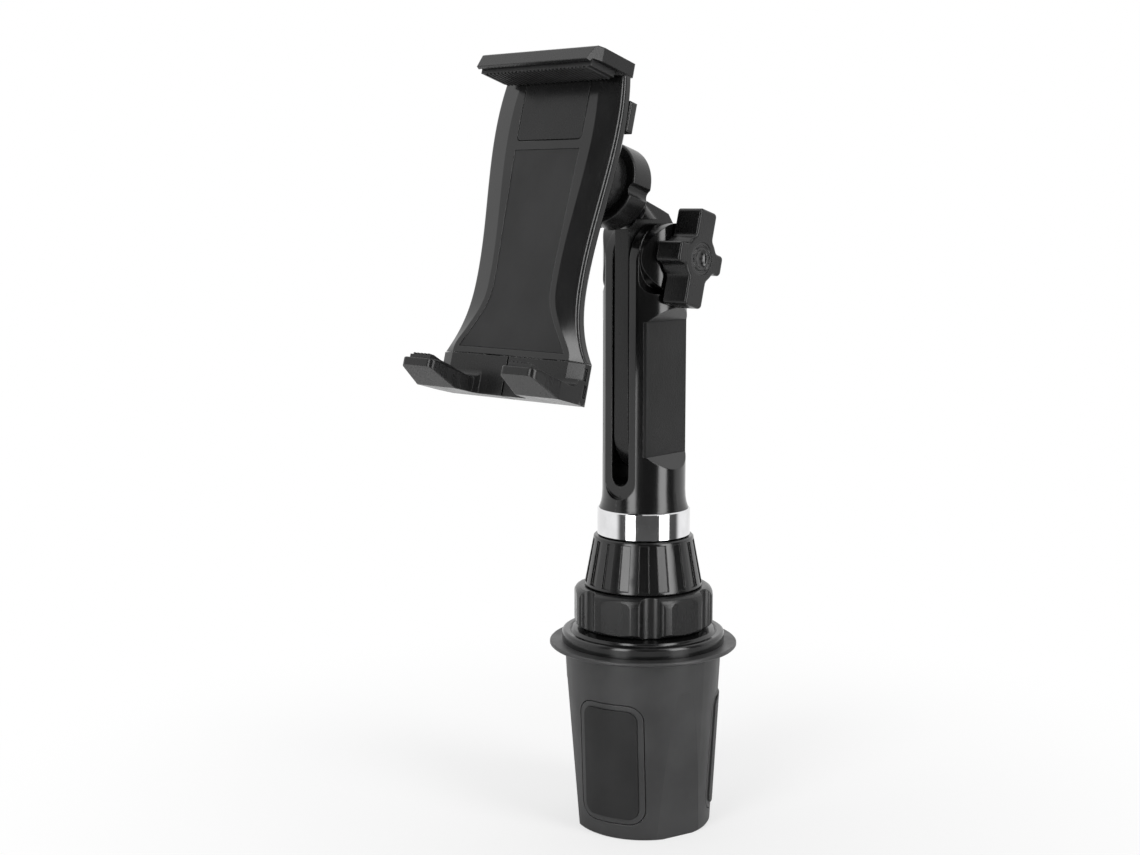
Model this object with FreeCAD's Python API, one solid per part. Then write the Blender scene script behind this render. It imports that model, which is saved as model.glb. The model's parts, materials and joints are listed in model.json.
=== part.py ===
import FreeCAD, Part

import math
import os

# Cup-holder mount for a phone or tablet, as an assembly of separate solids.
# Millimetres. The origin is the centre of the cup's flat bottom and +Z is up.
# The device is held on the front, which faces -Y, and the arm's knob is on the +X side.

V = FreeCAD.Vector

# ---- clearances ------------------------------------------------------------------------------
RUN = 0.05              # radial gap of a shaft that turns or slides in a hole
GAP = 0.3               # gap between faces that move past each other
SEAM = 0.4              # visible seam round a piece that is set into another

# ---- cup that drops into the cup holder ------------------------------------------------------
CUP_BOTTOM_R = 33.3
CUP_TOP_R = 38.0
CUP_H = 88.4            # up to the underside of the rim flange
CUP_WALL = 2.6
CUP_EDGE = 1.2          # rounded edge round the bottom
FLANGE_R = 45.4
FLANGE_T = 1.9
FACET_DEPTH = 2.3       # how far the three flats cut into the cup at the bottom edge
FACET_TOP = 72.2
FACET_HALF = 13.5       # half the width of a flat, which is also its arched top's radius
FACET_AZ = 73.0         # azimuth of the first flat, from the front towards +X
PLATE_T = 3.0
PLATE_RIM = 1.8         # cup edge left round the base plate at the flats
BOSS_R = 2.8
BOSS_H = 16.0
SCREW_R = 1.5
SCREW_HEAD_R = 2.8
SCREW_HEAD_T = 1.6

# ---- pads that spread to grip the cup holder -------------------------------------------------
PAD_AZ = 13.0
PAD_COUNT = 3
WINDOW_W = 34.0
WINDOW_LOW = 7.7
WINDOW_H = 59.6
WINDOW_CORNER = 8.0
PAD_TRAVEL = 8.0
PAD_FLANGE_T = 1.6
PAD_FLANGE_EXTRA = 1.2
RUBBER_MARGIN = 2.6     # pad frame left showing round the rubber
RUBBER_T = 1.4
RUBBER_PROUD = 0.7
WEDGE_TRAVEL = 20.0
WEDGE_LOW = 24.0
WEDGE_H = 20.0
WEDGE_R = 26.0
FIN_TOP = 51.0
FIN_HALF = 5.0

# ---- neck, drive sleeve, lid and dial --------------------------------------------------------
NECK_R = 11.0
NECK_BORE = 8.0
NECK_FLOOR = 10.0
NECK_SCREW_R = 2.5
SLEEVE_R = 14.2
SLEEVE_LOW = 21.0
LID_R = 39.4
LID_H = 5.4
LID_STEP_R = 35.4
LID_TOP_H = 7.2
SPIGOT_R = 30.0
DIAL_Z = 98.0
DIAL_TOP = 117.6
DIAL_R = 33.9
DIAL_FLAT_R = 33.0
DIAL_LOBES = 6
DIAL_LOBE_AZ = 16.0
SCALLOP_R = 6.0
SCALLOP_AT = 36.0
DIAL_SHOULDER = 4.2
DIAL_CORNER = 2.2

# ---- locking collar and chrome ring ----------------------------------------------------------
COLLAR_TOP = 142.4
COLLAR_LOW_R = 28.5
COLLAR_TOP_R = 24.1
COLLAR_RIBS = 18
COLLAR_GROOVE = 1.0
COLLAR_LIP = 1.6
COLLET_R = 16.0
COLLET_SLOTS = 4
COLLET_SLOT_W = 2.0
RING_TOP = 155.8
RING_R = 22.4

# ---- column ----------------------------------------------------------------------------------
COLUMN_R = 20.0
COLUMN_FOOT_R = 21.6
COLUMN_FOOT_H = 9.0
COLUMN_FLAT = 9.25      # half the width of the flat strip down the front and back
FLAT_LOW = 161.5
SLOT_HALF = 5.2
SLOT_LOW = 167.7
EAR_TOP = 291.6
EAR_HALF = 10.2
EAR_LOW = 259.0
EAR_BLEND = 7.0
PIVOT_Z = 275.5
PIVOT_R = 4.0
BOSS_FACE = 18.4
PIVOT_BOSS_R = 16.4
PANEL_X = 13.5
PANEL_LOW = 178.6
PANEL_HIGH = 250.0
PANEL_LEDGE = 4.0
PANEL_T = 1.2
CAPTURE_R = 17.0
CAPTURE_T = 1.6
CAP_R = 13.4
CAP_T = 2.4
COLUMN_SCREW_Y = 9.0

# ---- star knob -------------------------------------------------------------------------------
KNOB_FACE = 33.6
KNOB_R = 22.6           # long lobes, which alternate with short ones
KNOB_SHORT_R = 16.2
KNOB_WAIST = 11.4
KNOB_HUB_R = 10.5
KNOB_LOBES = 4
KNOB_LOBE_AZ = 15.0
KNOB_HOLLOW = 3.0        # radius in the hollows between the lobes
KNOB_CORNER = 2.0
KNOB_EDGE = 1.2
KNOB_LOBE_W = 12.6
KNOB_SHORT_W = 9.6
BOLT_HEAD_R = 8.0
BOLT_HEAD_T = 3.0
BOLT_END = 26.0
NUT_R = 7.0
NUT_T = 8.0
CAP_DISC_R = 7.6
CAP_DISC_T = 2.6

# ---- arm -------------------------------------------------------------------------------------
ARM_HALF_X = 4.25
ARM_HALF_Y = 17.2
ARM_LOW = 175.0
ARM_HEAD_TOP = 297.4
ARM_TRAVEL = 80.0
BLOCK_HALF_Y = 4.0 + 1.6
BLOCK_H = 20.0
WASHER_R = 13.0
BALL_Y = -26.1
BALL_Z = 308.8
BALL_R = 10.0
NECK_DROP = 38.0        # degrees below level at which the ball's stud leaves the ball
STUD_R = 5.0
STUD_SPIGOT_R = 3.4
STUD_SPIGOT_L = 7.0
DISH_R = 21.8
HEAD_BOSS_R = 7.6

# ---- ball socket and ring nut ----------------------------------------------------------------
LINER_T = 1.8
SOCKET_R = 15.0
SOCKET_OPEN = 64.0      # half angle of the socket's rear mouth, in degrees
RING_NUT_R = 19.5
RING_NUT_FRONT = 6.4    # ahead of the ball's centre
RING_NUT_BACK = 6.9     # behind the ball's centre
RING_NUT_LOBES = 4
RING_NUT_NOTCH_R = 3.4
SPINDLE_R = 9.0
SPINDLE_FLANGE_R = 12.4
SPINDLE_FLANGE_T = 2.0

# ---- holder, in its own frame: X across, Y back from the front face, Z up the face -----------
LEAN = 15.4             # degrees that the holder leans back
BALL_DEPTH = 45.0       # ball centre behind the front face
BALL_UP = 88.9          # ball centre above the body's lower edge
BODY_H = 125.2
BODY_FOOT_HALF = 42.5
BODY_WAIST_HALF = 31.8
BODY_WAIST_AT = 38.0
BODY_TOP_HALF = 35.2
SHELL_D = 10.4
SHELL_WALL = 2.4
MARGIN_ROUND = 1.6
MARGIN_DROP = 2.8       # how far the side margins slope back from the flat middle
FLAT_MARGIN = 3.2       # flat border left round the matte pad
EDGE_BACK = 6.6         # where the side wall ends and the back starts to taper in
BACK_INSET = 4.6        # how far the tapered back stands in from the side wall
COVER_T = 1.8
COVER_INSET = 0.5
HOUSING_HALF = 15.5
HOUSING_LOW = 22.0
HOUSING_HIGH = 108.0
HOUSING_D = 22.0
HOUSING_WALL = 2.2
INSET_LOW = 2.8
INSET_HIGH = 92.7
INSET_FOOT_HALF = 33.6
INSET_TOP_HALF = 19.2
INSET_T = 1.0
INSET_FLARE = 26.0      # height over which the pad narrows from its foot
WINDOW_HALF = 19.4
WINDOW_FLOOR = 96.7
TONGUE_T = 3.0
TONGUE_LOW = 31.0
TONGUE_HALF = 16.4
GUIDE_X = 14.5          # ribs on the back cover that keep the tongue against the face
GUIDE_AT = (38.0, 70.0)
JAW_TRAVEL = 60.0
JAW_HALF = 35.0
JAW_LOW = 126.0
JAW_TOP = 132.0
JAW_FRONT = 20.0        # how far the lip's lower edge stands ahead of the face
JAW_FRONT_TOP = 15.5
JAW_BACK = 9.0
JAW_PAD_T = 3.6
JAW_PAD_HALF = 32.5
RIDGE_PITCH = 2.2
RIDGE_H = 0.7
TOOTH_PITCH = 3.0
TOOTH_H = 1.6
BUTTON_LOW = 101.6
BUTTON_HIGH = 115.6
BUTTON_NEAR = 7.0       # nearer side of the button, behind the front face
BUTTON_FAR = 12.0
BUTTON_PROUD = 3.0
BUTTON_IN = 7.4
BUTTON_TRAVEL = 2.0
SPRING_WIRE = 0.45

# ---- feet that carry the device, in the holder's frame ---------------------------------------
FOOT_TOP = -0.35
FOOT_LOW = -17.8
FOOT_SPLIT = 0.45
FOOT_HALF = 42.5
FOOT_TRAVEL = 20.0
FOOT_BACK = 9.6
FOOT_CORNER = 2.0
LIP_CORNER = 3.0        # rounded corners of each hook's lip
HOOK_ROOT_IN = 17.0
HOOK_LIP_IN = 21.0
HOOK_LIP_OUT = 39.0
HOOK_REACH = 25.5
LIP_TOP = -7.6
LIP_H = 3.6
LIP_T = 3.6
HOOK_KEEL = 10.5        # where the flat underside turns up to the lip
CHANNEL_LOW = -10.9
CHANNEL_CORNER = 3.5    # radius where the channel's floor meets the face
FOOT_PAD_T = 1.2
LEG_IN = 14.0
LEG_OUT = 20.0
LEG_TOP = 30.0
LEG_T = 3.0


# ---- helpers ---------------------------------------------------------------------------------
def front(azimuth):
    """Unit vector for an azimuth counted from the front (-Y) towards +X."""
    a = math.radians(azimuth)
    return V(math.sin(a), -math.cos(a), 0)


def box(x0, x1, y0, y1, z0, z1):
    return Part.makeBox(x1 - x0, y1 - y0, z1 - z0, V(x0, y0, z0))


def rod(radius, start, end):
    """Round bar from one point to another."""
    start, end = V(*start), V(*end)
    return Part.makeCylinder(radius, (end - start).Length, start, end - start)


def post(radius, z0, z1, x=0, y=0):
    return rod(radius, (x, y, z0), (x, y, z1))


def tube(outer, inner, z0, z1):
    return post(outer, z0, z1).cut(post(inner, z0, z1))


def turned(profile):
    """Solid of revolution about Z from (radius, height) points."""
    points = [V(r, 0, z) for r, z in profile]
    face = Part.Face(Part.makePolygon(points + points[:1]))
    return face.revolve(V(0, 0, 0), V(0, 0, 1), 360)


def slab(points, low, high, axis="z"):
    """Prism from a flat outline: (x, y) along z, (y, z) along x, or (x, z) along y."""
    place = {
        "z": lambda a, b: V(a, b, low),
        "x": lambda a, b: V(low, a, b),
        "y": lambda a, b: V(a, low, b),
    }[axis]
    way = {"z": V(0, 0, 1), "x": V(1, 0, 0), "y": V(0, 1, 0)}[axis]
    corners = [place(a, b) for a, b in points]
    return Part.Face(Part.makePolygon(corners + corners[:1])).extrude(way * (high - low))


def spun(shape, degrees, axis=(0, 0, 1), centre=(0, 0, 0)):
    copy = shape.copy()
    copy.rotate(V(*centre), V(*axis), degrees)
    return copy


def faced(shape, azimuth):
    """Turn a shape that was built facing the front so that it faces an azimuth."""
    return spun(shape, azimuth)


def mirrored(shape):
    return shape.mirror(V(0, 0, 0), V(1, 0, 0))


def rounded_bar(half, z0, z1, y0, y1, corner):
    """Block with its four long corners rounded, running along Y."""
    block = box(-half, half, y0, y1, z0, z1)
    edges = [
        e
        for e in block.Edges
        if abs(e.Vertexes[0].X - e.Vertexes[-1].X) < 1e-6
        and abs(e.Vertexes[0].Z - e.Vertexes[-1].Z) < 1e-6
    ]
    return block.makeFillet(corner, edges)


def edges_where(shape, test):
    """Edges whose middle point and ends all pass a test."""
    found = []
    for edge in shape.Edges:
        middle = edge.valueAt((edge.FirstParameter + edge.LastParameter) / 2)
        if all(test(p) for p in [middle] + [v.Point for v in edge.Vertexes]):
            found.append(edge)
    return found


def one(shape):
    """The single solid of a finished piece."""
    clean = shape.removeSplitter()
    if len(clean.Solids) != 1:
        raise ValueError("a piece that should be one solid has %d" % len(clean.Solids))
    return clean.Solids[0]


def in_place(shape):
    """Move a piece from the holder's frame to where the leaning holder is."""
    return moved_shape(shape, HOLDER_PLACE)


def moved_shape(shape, placement):
    copy = shape.copy()
    copy.Placement = placement.multiply(copy.Placement)
    return copy


LEAN_TURN = FreeCAD.Rotation(V(1, 0, 0), -LEAN)
BALL = V(0, BALL_Y, BALL_Z)
HOLDER_PLACE = FreeCAD.Placement(
    BALL - LEAN_TURN.multVec(V(0, BALL_DEPTH, BALL_UP)), LEAN_TURN
)


# ---- cup -------------------------------------------------------------------------------------
def cup_radius(z):
    return CUP_BOTTOM_R + (CUP_TOP_R - CUP_BOTTOM_R) * z / CUP_H


def cup_cone(offset, low, high):
    """The cup's tapered outside moved out by an offset."""
    return turned([(0, low), (cup_radius(low) + offset, low), (cup_radius(high) + offset, high), (0, high)])


def window_bar(grow, y0, y1):
    """Rounded bar through a pad window, facing the front."""
    return rounded_bar(
        WINDOW_W / 2 + grow,
        WINDOW_LOW - grow,
        WINDOW_LOW + WINDOW_H + grow,
        y0,
        y1,
        WINDOW_CORNER + grow,
    )


DECK_TOP = CUP_H + FLANGE_T
DECK_LOW = DECK_TOP - 3.4
FACET_Y = CUP_BOTTOM_R - FACET_DEPTH
PLATE_R = FACET_Y - PLATE_RIM - RUN
CUP_BOSS_AT = FACET_Y - CUP_WALL - BOSS_R
PAD_INNER_Y = SLEEVE_R  # how near the axis a pad's sides come


def facet_cut(deeper, half):
    """What a flat removes from the cup, or its copy moved inwards behind the wall."""
    low_y = FACET_Y - deeper
    high_y = cup_radius(FACET_TOP) - 0.2 - deeper
    lean = (high_y - low_y) / FACET_TOP
    wedge = slab(
        [
            (-low_y + lean, -1),
            (-high_y - lean, FACET_TOP + 1),
            (-2 * CUP_TOP_R, FACET_TOP + 1),
            (-2 * CUP_TOP_R, -1),
        ],
        -half,
        half,
        "x",
    )
    arch_z = FACET_TOP - half
    arch = box(-half, half, -2 * CUP_TOP_R, 0, -1, arch_z)
    return wedge.common(arch.fuse(rod(half, (0, -2 * CUP_TOP_R, arch_z), (0, 0, arch_z))))


def cup_body():
    outside = turned([
        (0, 0),
        (CUP_BOTTOM_R - CUP_EDGE, 0),
        (CUP_BOTTOM_R - 0.35 * CUP_EDGE, 0.35 * CUP_EDGE),
        (cup_radius(CUP_EDGE), CUP_EDGE),
        (CUP_TOP_R, CUP_H),
        (FLANGE_R - 0.5, CUP_H),
        (FLANGE_R, CUP_H + 0.5),
        (FLANGE_R, DECK_TOP - 0.5),
        (FLANGE_R - 0.5, DECK_TOP),
        (0, DECK_TOP),
    ])
    inside = cup_cone(-CUP_WALL, PLATE_T, DECK_LOW)
    for n in range(PAD_COUNT):
        behind = facet_cut(CUP_WALL, FACET_HALF + CUP_WALL)
        inside = inside.cut(faced(behind, FACET_AZ + n * 360 / PAD_COUNT))
    shell = outside.cut(inside).cut(post(PLATE_R + RUN, -1, PLATE_T))
    shell = shell.cut(post(SPIGOT_R, DECK_LOW - 1, DECK_TOP + 1))
    facet = facet_cut(0, FACET_HALF)
    for n in range(PAD_COUNT):
        turn = n * 360 / PAD_COUNT
        shell = shell.cut(faced(facet, FACET_AZ + turn))
        shell = shell.cut(faced(window_bar(0, -2 * CUP_TOP_R, -PAD_INNER_Y), PAD_AZ + turn))
        at = front(FACET_AZ + turn) * CUP_BOSS_AT
        boss = post(BOSS_R, PLATE_T, PLATE_T + BOSS_H, at.x, at.y)
        web = box(-1.2, 1.2, -FACET_Y + 0.5, -CUP_BOSS_AT, PLATE_T, PLATE_T + BOSS_H)
        shell = shell.fuse(boss).fuse(faced(web, FACET_AZ + turn))
        shell = shell.cut(post(SCREW_R, PLATE_T - 1, PLATE_T + BOSS_H - 3, at.x, at.y))
    return one(shell)


def base_plate():
    plate = post(PLATE_R, 0, PLATE_T)
    for n in range(PAD_COUNT):
        at = front(FACET_AZ + n * 360 / PAD_COUNT) * CUP_BOSS_AT
        plate = plate.cut(post(SCREW_R, -1, PLATE_T + 1, at.x, at.y))
        plate = plate.cut(post(SCREW_HEAD_R, 0, 0.4 + SCREW_HEAD_T, at.x, at.y))
    plate = plate.cut(post(NECK_SCREW_R, -1, PLATE_T + 1))
    return one(plate.cut(post(NECK_SCREW_R * 2, 0, 0.4 + SCREW_HEAD_T)))


def base_screws():
    """Three screws that hold the plate to the cup, and one up into the neck."""
    screws = []
    for n in range(PAD_COUNT):
        at = front(FACET_AZ + n * 360 / PAD_COUNT) * CUP_BOSS_AT
        shank = post(SCREW_R, 0.4, PLATE_T + BOSS_H - 4, at.x, at.y)
        screws.append(shank.fuse(post(SCREW_HEAD_R, 0.4, 0.4 + SCREW_HEAD_T, at.x, at.y)))
    centre = post(NECK_SCREW_R, 0.4, PLATE_T + NECK_FLOOR)
    screws.append(centre.fuse(post(NECK_SCREW_R * 2, 0.4, 0.4 + SCREW_HEAD_T)))
    return Part.makeCompound([one(s) for s in screws])


# ---- spreading pads --------------------------------------------------------------------------
def wedge_slope():
    return PAD_TRAVEL / WEDGE_TRAVEL


def wedge_face(z, gap=0.0):
    return WEDGE_R + gap - wedge_slope() * (z - WEDGE_LOW)


def wedge_ring():
    """Cone that climbs the drive sleeve and pushes the pads out."""
    top = WEDGE_LOW + WEDGE_H
    cone = turned([
        (SLEEVE_R + RUN, WEDGE_LOW),
        (WEDGE_R, WEDGE_LOW),
        (wedge_face(top), top),
        (SLEEVE_R + RUN, top),
    ])
    return one(cone)


def rubber_shape():
    """Rubber facing of a pad, following the cup's taper."""
    low, high = 1.0, CUP_H - 1.0
    skin = cup_cone(RUBBER_PROUD, low, high).cut(cup_cone(RUBBER_PROUD - RUBBER_T, low - 1, high + 1))
    bar = window_bar(-SEAM - RUBBER_MARGIN, -2 * CUP_TOP_R, -PAD_INNER_Y)
    return one(skin.common(bar))


def pad_jaw_shape():
    """Pad with a flange behind the cup's wall and a fin that rides on the cone."""
    reach = CUP_WALL + PAD_TRAVEL + GAP + PAD_FLANGE_T
    low, high = 1.0, CUP_H - 1.0
    plate = cup_cone(0, low, high).cut(cup_cone(-reach, low - 1, high + 1))
    plate = plate.common(window_bar(-SEAM, -2 * CUP_TOP_R, -PAD_INNER_Y))
    flange = cup_cone(PAD_FLANGE_T - reach, low, high).cut(cup_cone(-reach, low - 1, high + 1))
    wide = window_bar(PAD_FLANGE_EXTRA, -2 * CUP_TOP_R, -PAD_INNER_Y)
    fin = box(-FIN_HALF, FIN_HALF, 2 - cup_radius(FIN_TOP), -PAD_INNER_Y, WEDGE_LOW + 1, FIN_TOP)
    jaw = plate.fuse(flange.common(wide)).fuse(fin)
    high_y = wedge_face(FIN_TOP, RUN)
    bite = slab(
        [
            (0, WEDGE_LOW - 1),
            (-wedge_face(WEDGE_LOW - 1, RUN), WEDGE_LOW - 1),
            (-high_y, FIN_TOP),
            (-high_y, CUP_H),
            (0, CUP_H),
        ],
        -2 * CUP_TOP_R,
        2 * CUP_TOP_R,
        "x",
    )
    return one(jaw.cut(bite).cut(rubber_shape()))


# ---- neck, lid, dial -------------------------------------------------------------------------
COLLET_TOP = RING_TOP + CAPTURE_T + 1.0
NECK_TOP = COLLET_TOP + RUN


def neck_tube():
    tube_wall = tube(NECK_R, NECK_BORE, PLATE_T, NECK_TOP)
    floor = post(NECK_R, PLATE_T, PLATE_T + NECK_FLOOR)
    foot = post(NECK_R + 5, PLATE_T, PLATE_T + 3)
    return one(tube_wall.fuse(floor).fuse(foot).cut(post(NECK_SCREW_R, 0, PLATE_T + NECK_FLOOR)))


def neck_cap():
    """Cap that closes the neck and keeps the column from lifting off."""
    disc = post(CAP_R, NECK_TOP, NECK_TOP + CAP_T)
    return one(disc.fuse(post(NECK_BORE, NECK_TOP - 8, NECK_TOP)))


def base_lid():
    bore = SLEEVE_R + GAP
    lid = turned([
        (bore, DECK_TOP - 4),
        (SPIGOT_R, DECK_TOP - 4),
        (SPIGOT_R, DECK_TOP),
        (LID_R, DECK_TOP),
        (LID_R, DECK_TOP + LID_H - 1.2),
        (LID_R - 0.4, DECK_TOP + LID_H - 0.4),
        (LID_R - 1.2, DECK_TOP + LID_H),
        (LID_STEP_R + 0.6, DECK_TOP + LID_H),
        (LID_STEP_R, DECK_TOP + LID_H - 0.6),
        (LID_STEP_R - 0.6, DECK_TOP + LID_H),
        (LID_STEP_R - 1.2, DECK_TOP + LID_H + 0.9),
        (LID_STEP_R - 4.5, DECK_TOP + LID_TOP_H),
        (bore, DECK_TOP + LID_TOP_H),
    ])
    return one(lid.cut(tube(SPIGOT_R - 3, bore + 3, DECK_TOP - 5, DECK_TOP - 1)))


def drive_sleeve():
    """Sleeve that the dial turns; its lower part carries the wedge's thread."""
    sleeve = tube(SLEEVE_R, NECK_R + RUN, SLEEVE_LOW, DIAL_TOP - 4)
    return one(sleeve)


def dial_knob():
    shoulder = DIAL_SHOULDER
    body = turned([
        (SLEEVE_R, DIAL_Z),
        (DIAL_R - 3.5, DIAL_Z),
        (DIAL_R - 1.2, DIAL_Z + 1.0),
        (DIAL_R, DIAL_Z + 2.2),
        (DIAL_R, DIAL_TOP - shoulder),
        (DIAL_R - 0.08 * shoulder, DIAL_TOP - 0.62 * shoulder),
        (DIAL_R - 0.29 * shoulder, DIAL_TOP - 0.29 * shoulder),
        (DIAL_R - 0.62 * shoulder, DIAL_TOP - 0.08 * shoulder),
        (DIAL_R - shoulder, DIAL_TOP),
        (NECK_R + RUN + 0.3, DIAL_TOP),
        (NECK_R + RUN + 0.3, DIAL_TOP - 4),
        (SLEEVE_R, DIAL_TOP - 4),
    ])
    pitch = 360 / DIAL_LOBES
    flat = box(-DIAL_R, DIAL_R, -DIAL_R - 5, -DIAL_FLAT_R, DIAL_Z - 1, DIAL_TOP + 1)
    scallop = post(SCALLOP_R, DIAL_Z - 1, DIAL_TOP + 1, 0, -SCALLOP_AT)
    for n in range(DIAL_LOBES):
        body = body.cut(faced(flat, DIAL_LOBE_AZ + n * pitch))
        body = body.cut(faced(scallop, DIAL_LOBE_AZ + (n + 0.5) * pitch))
    upright = edges_where(body, lambda p: math.hypot(p.x, p.y) > DIAL_FLAT_R - 2.5)
    upright = [
        e for e in upright
        if abs(e.Vertexes[0].Z - e.Vertexes[-1].Z) > 8
        and math.hypot(e.Vertexes[0].X - e.Vertexes[-1].X, e.Vertexes[0].Y - e.Vertexes[-1].Y) < 0.01
    ]
    return one(body.makeFillet(DIAL_CORNER, upright))


# ---- locking collar, collet, chrome ring -----------------------------------------------------
COLLAR_Z = DIAL_TOP + GAP


def collar_radius(z):
    share = (z - COLLAR_Z) / (COLLAR_TOP - COLLAR_Z)
    return COLLAR_LOW_R + (COLLAR_TOP_R - COLLAR_LOW_R) * share


def lock_collar():
    bore = COLLET_R + RUN
    body = turned([
        (bore, COLLAR_Z),
        (COLLAR_LOW_R - 0.6, COLLAR_Z),
        (COLLAR_LOW_R, COLLAR_Z + 0.5),
        (COLLAR_TOP_R, COLLAR_TOP - 0.5),
        (COLLAR_TOP_R - 0.6, COLLAR_TOP),
        (bore, COLLAR_TOP),
    ])
    low, high = COLLAR_Z + COLLAR_LIP, COLLAR_TOP - COLLAR_LIP
    half_low = math.pi * collar_radius(low) / COLLAR_RIBS / 2
    half_high = math.pi * collar_radius(high) / COLLAR_RIBS / 2
    reach = COLLAR_LOW_R + 6
    floor = slab(
        [
            (COLLAR_GROOVE - collar_radius(low), low),
            (COLLAR_GROOVE - collar_radius(high), high),
            (-reach, high),
            (-reach, low),
        ],
        -half_low,
        half_low,
        "x",
    )
    sides = [(-half_low, low), (half_low, low), (half_high, high), (-half_high, high)]
    recess = floor.common(slab(sides, -reach, -COLLET_R, "y"))
    for n in range(COLLAR_RIBS):
        body = body.cut(faced(recess, n * 360 / COLLAR_RIBS))
    return one(body)


def collet_sleeve():
    """Slotted sleeve that turns on the neck; the collar squeezes its fingers."""
    sleeve = tube(COLLET_R, NECK_R + RUN, COLLAR_Z, COLLET_TOP)
    sleeve = sleeve.fuse(tube(CAPTURE_R, NECK_R + RUN, COLLET_TOP - CAPTURE_T, COLLET_TOP))
    cutter = box(-COLLET_SLOT_W / 2, COLLET_SLOT_W / 2, -COLLET_R - 1, 0, COLLAR_Z - 1, COLLAR_TOP - 8)
    for n in range(COLLET_SLOTS):
        sleeve = sleeve.cut(faced(cutter, 45 + n * 360 / COLLET_SLOTS))
    return one(sleeve)


def chrome_ring():
    low = COLLAR_TOP + GAP
    bore = COLLET_R
    ring = turned([
        (bore, low),
        (RING_R - 0.5, low),
        (RING_R, low + 0.5),
        (RING_R, RING_TOP - 0.5),
        (RING_R - 0.5, RING_TOP),
        (bore, RING_TOP),
    ])
    return one(ring)


# ---- column ----------------------------------------------------------------------------------
FLAT_Y = math.sqrt(COLUMN_R ** 2 - COLUMN_FLAT ** 2)


def column_body():
    """The whole column before it is parted down the middle."""
    foot = COLUMN_FOOT_R - COLUMN_R
    body = turned([
        (0, RING_TOP),
        (COLUMN_FOOT_R, RING_TOP),
        (COLUMN_FOOT_R - 0.25 * foot, RING_TOP + 0.10 * COLUMN_FOOT_H),
        (COLUMN_FOOT_R - 0.62 * foot, RING_TOP + 0.32 * COLUMN_FOOT_H),
        (COLUMN_FOOT_R - 0.88 * foot, RING_TOP + 0.60 * COLUMN_FOOT_H),
        (COLUMN_R, RING_TOP + COLUMN_FOOT_H),
        (COLUMN_R, EAR_TOP),
        (0, EAR_TOP),
    ])
    crown_z = EAR_TOP - FLAT_Y
    crown = rod(FLAT_Y, (-COLUMN_R, 0, crown_z), (COLUMN_R, 0, crown_z))
    below = box(-COLUMN_R - 5, COLUMN_R + 5, -COLUMN_R - 5, COLUMN_R + 5, RING_TOP, crown_z)
    body = body.common(below.fuse(crown))
    for side in (-1, 1):
        edge = side * FLAT_Y
        near, far = sorted((edge, 2 * edge))
        round_z = FLAT_LOW + COLUMN_FLAT
        strip = box(-COLUMN_FLAT, COLUMN_FLAT, near, far, round_z, EAR_TOP)
        body = body.cut(strip.fuse(rod(COLUMN_FLAT, (0, near, round_z), (0, far, round_z))))
        body = body.cut(side_recess(side)).cut(ear_recess(side))
    body = body.cut(slot_bar())
    body = body.cut(rod(PIVOT_R + RUN, (-COLUMN_R - 1, 0, PIVOT_Z), (COLUMN_R + 1, 0, PIVOT_Z)))
    head = rod(BOLT_HEAD_R + RUN, (-COLUMN_R - 1, 0, PIVOT_Z), (-BOSS_FACE + 1.5, 0, PIVOT_Z))
    body = body.cut(head)
    body = body.cut(post(COLLET_R, RING_TOP - 1, COLLET_TOP))
    body = body.cut(post(CAPTURE_R, COLLET_TOP - CAPTURE_T, COLLET_TOP))
    return body.cut(post(CAP_R + GAP, COLLET_TOP, NECK_TOP + CAP_T + GAP))


def slot_bar():
    """Slot that the arm lies in: through the column from front to back, open at the top."""
    reach = COLUMN_R + 1
    low = SLOT_LOW + SLOT_HALF
    return box(-SLOT_HALF, SLOT_HALF, -reach, reach, low, EAR_TOP + 1).fuse(
        rod(SLOT_HALF, (0, -reach, low), (0, reach, low))
    )


def side_recess(side):
    """Flat pocket down the side of the column, with sloping ledges at both ends."""
    outer = COLUMN_R + 1
    outline = [
        (PANEL_X - PANEL_T, PANEL_LOW + PANEL_LEDGE),
        (PANEL_X, PANEL_LOW + PANEL_LEDGE),
        (outer, PANEL_LOW + PANEL_LEDGE - (outer - PANEL_X)),
        (outer, PANEL_HIGH - PANEL_LEDGE + (outer - PANEL_X)),
        (PANEL_X, PANEL_HIGH - PANEL_LEDGE),
        (PANEL_X - PANEL_T, PANEL_HIGH - PANEL_LEDGE),
    ]
    return slab([(side * x, z) for x, z in outline], -COLUMN_R - 1, COLUMN_R + 1, "y")


def ear_recess(side):
    """Cuts the column's side back round the pivot boss."""
    reach = COLUMN_R + 6
    x0, x1 = sorted((side * EAR_HALF, side * reach))
    block = box(x0, x1, -reach, reach, EAR_LOW, EAR_TOP + 1)
    inner = edges_where(block, lambda p: abs(abs(p.x) - EAR_HALF) < 1e-6 and abs(p.z - EAR_LOW) < 1e-6)
    block = block.makeFillet(EAR_BLEND, inner)
    boss = rod(PIVOT_BOSS_R, (0, 0, PIVOT_Z), (side * BOSS_FACE, 0, PIVOT_Z))
    return block.cut(boss)


def column_half(side):
    half = box(0, side * 40, -40, 40, 0, 400) if side > 0 else box(-40, 0, -40, 40, 0, 400)
    shape = column_body().common(half)
    for y in (-COLUMN_SCREW_Y, COLUMN_SCREW_Y):
        z = (NECK_TOP + CAP_T + SLOT_LOW) / 2 + 0.4
        shape = shape.cut(rod(SCREW_R, (-30, y, z), (11, y, z)))
        if side < 0:
            shape = shape.cut(rod(SCREW_HEAD_R + RUN, (-30, y, z), (-13, y, z)))
    return one(shape)


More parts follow.
